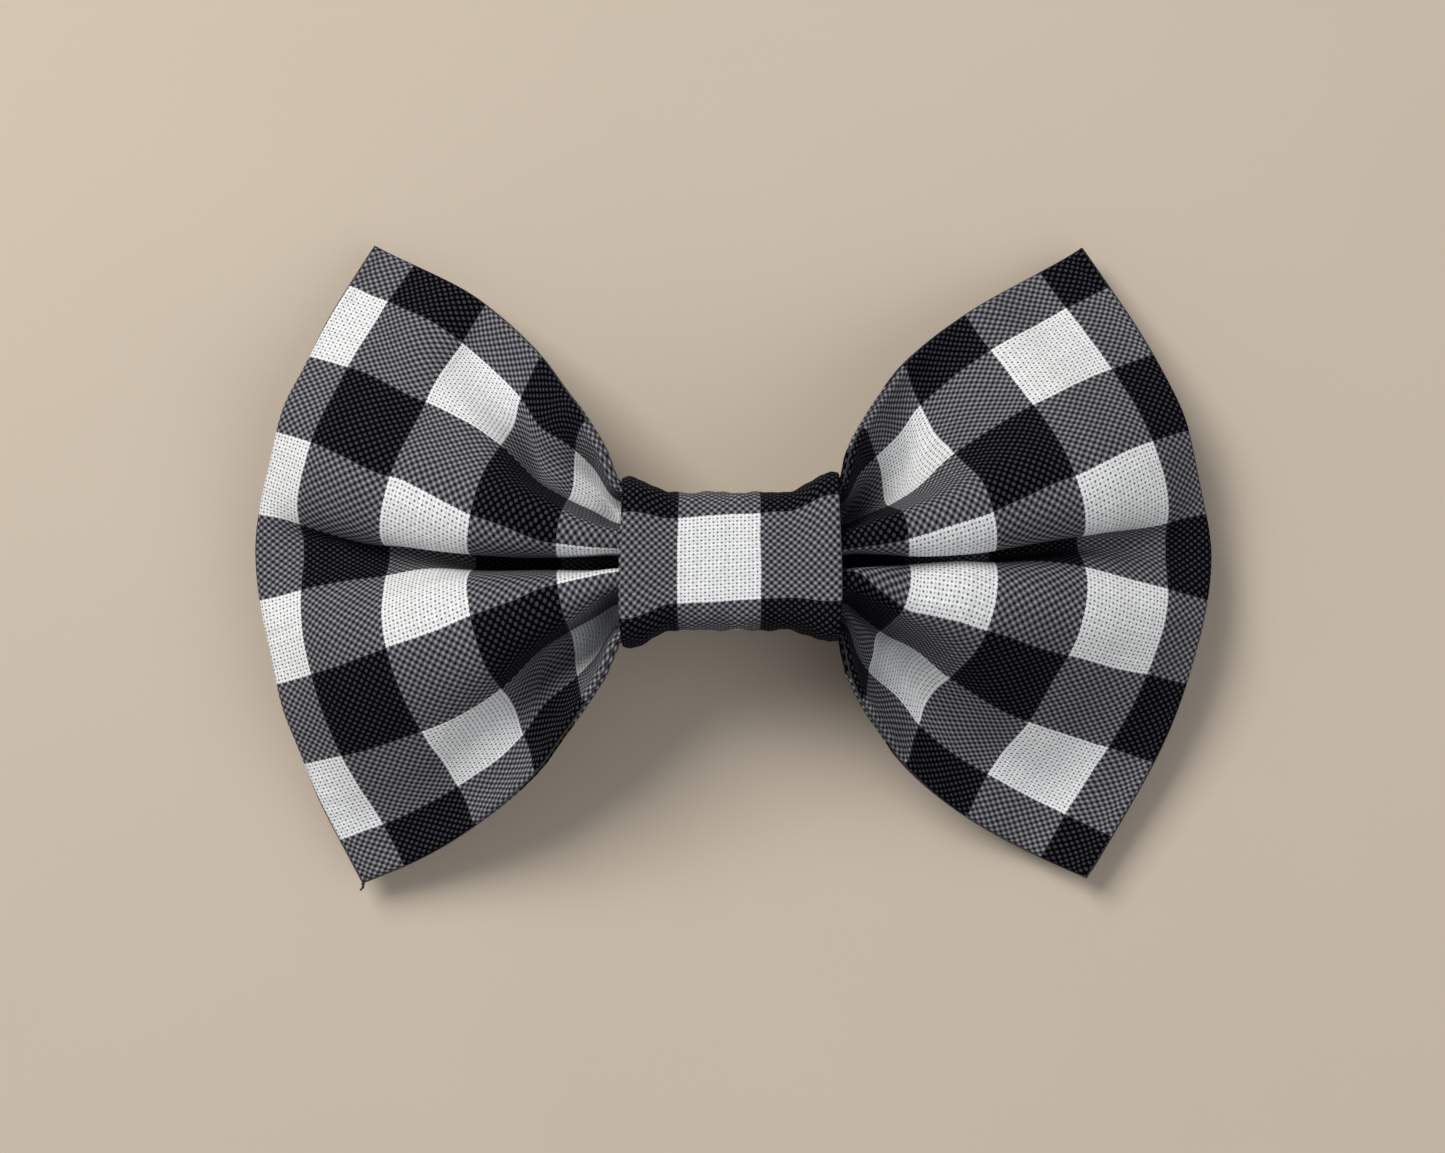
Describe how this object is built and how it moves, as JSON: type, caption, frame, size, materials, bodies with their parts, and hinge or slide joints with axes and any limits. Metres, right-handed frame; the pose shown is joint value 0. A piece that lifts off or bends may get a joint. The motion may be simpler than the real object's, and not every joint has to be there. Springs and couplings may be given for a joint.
{
  "type": "fabric hair bow clip",
  "caption": "Gingham fabric hair bow, a padded and pinched pair of sewn panels with a wrapped centre knot, fixed to a sprung steel alligator clip.",
  "frame": {"origin": "centre of the bow's footprint on the table it lies on, at table height", "axes": "+X from loop to loop, along the clip towards its thumb tabs; +Y across the loops; +Z out of the front of the bow"},
  "size_m": [0.106, 0.0726, 0.0256],
  "materials": {
    "gingham_front": "black and white woven cotton gingham",
    "gingham_back": "black and white woven cotton gingham",
    "fleece": "thin bonded fleece",
    "seam_yarn": "spun polyester sewing thread",
    "cinch_yarn": "waxed white thread",
    "gingham_wrap": "black and white woven cotton gingham",
    "stiffener": "bonded interfacing",
    "stitch_yarn": "white sewing thread",
    "hot_glue": "cloudy hot-melt glue",
    "grosgrain": "black ribbed grosgrain ribbon",
    "upper_steel": "nickel-plated sheet",
    "pin_steel": "plain steel pin",
    "spring_steel": "drawn spring wire",
    "lower_steel": "nickel-plated sheet"
  },
  "bodies": {
    "bow": {"front_panel": "gingham_front", "interlining": "fleece", "back_panel": "gingham_back", "seam_thread": "seam_yarn", "cinch_thread": "cinch_yarn", "wrap_interfacing": "stiffener", "centre_wrap": "gingham_wrap", "wrap_stitches": "stitch_yarn", "glue_pad": "hot_glue", "ribbon_lining": "grosgrain", "upper_jaw": "upper_steel", "hinge_pin": "pin_steel", "torsion_spring": "spring_steel"},
    "lower_jaw": {"lower_jaw": "lower_steel"}
  },
  "joints": [
    {"name": "jaw_hinge", "type": "hinge", "parent": "bow", "child": "lower_jaw", "pos_m": [0.0156, 0, 0.0053], "axis": [0, -1, 0], "range_deg": [0, 28], "stiffness_Nm_per_rad": 0.06, "springref_deg": -20.05, "deforming": ["torsion_spring"]}
  ]
}
